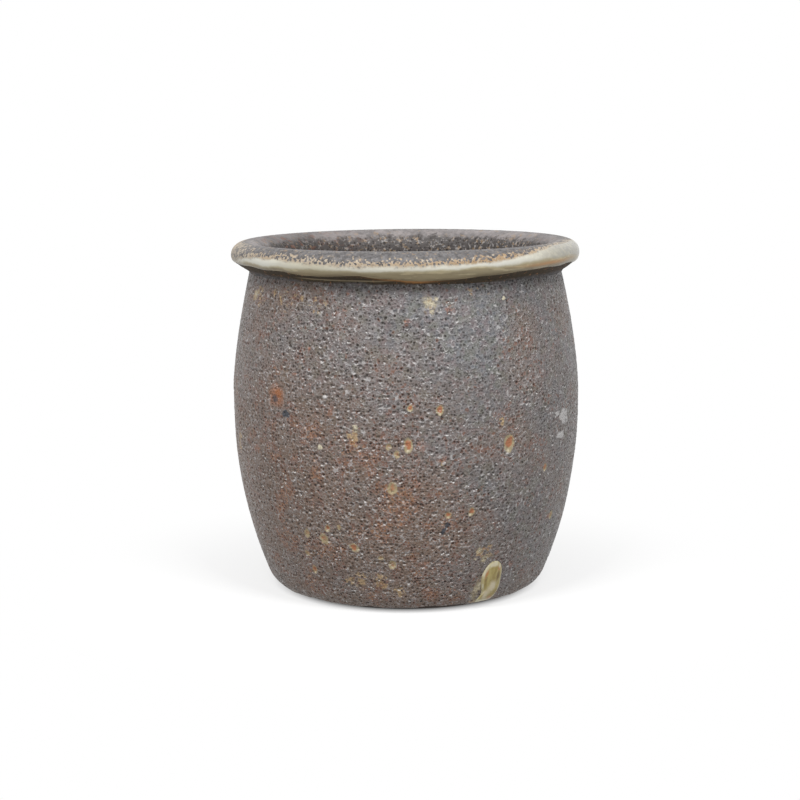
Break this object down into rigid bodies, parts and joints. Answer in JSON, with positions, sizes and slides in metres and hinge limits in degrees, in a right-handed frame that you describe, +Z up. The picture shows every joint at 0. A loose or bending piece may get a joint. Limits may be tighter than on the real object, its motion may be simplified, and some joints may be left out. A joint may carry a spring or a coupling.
{
  "type": "earthenware storage jar",
  "caption": "Open barrel-shaped earthenware storage jar with a rolled rim, a dark cratered glaze, a pale glaze bead under the rim and a flat foot to stand on.",
  "frame": {"origin": "centre of the foot's resting face", "axes": "+Z up along the jar's axis, -Y towards the viewer of the picture, +X to the viewer's right"},
  "size_m": [0.2998, 0.2998, 0.3],
  "materials": {
    "clay": "bare fired red-brown earthenware, matte",
    "slip": "fired joining slip, matte",
    "crater_glaze": "cratered charcoal-brown glaze, half gloss on the ridges",
    "rim_glaze": "mottled grey-mauve glaze with fine pits",
    "lining_glaze": "dark grey-brown glaze with fine pits",
    "pale_glaze": "glossy cream and ochre glaze"
  },
  "bodies": {
    "root": {"base_slab": "clay", "base_slip": "slip", "corner_coil": "clay", "lower_wall": "clay", "belly_slip": "slip", "upper_wall": "clay", "neck_slip": "slip", "rim_roll": "clay", "outer_glaze": "crater_glaze", "rim_bead": "pale_glaze", "rim_glaze": "rim_glaze", "inner_glaze": "lining_glaze", "glaze_run": "pale_glaze"}
  },
  "joints": []
}
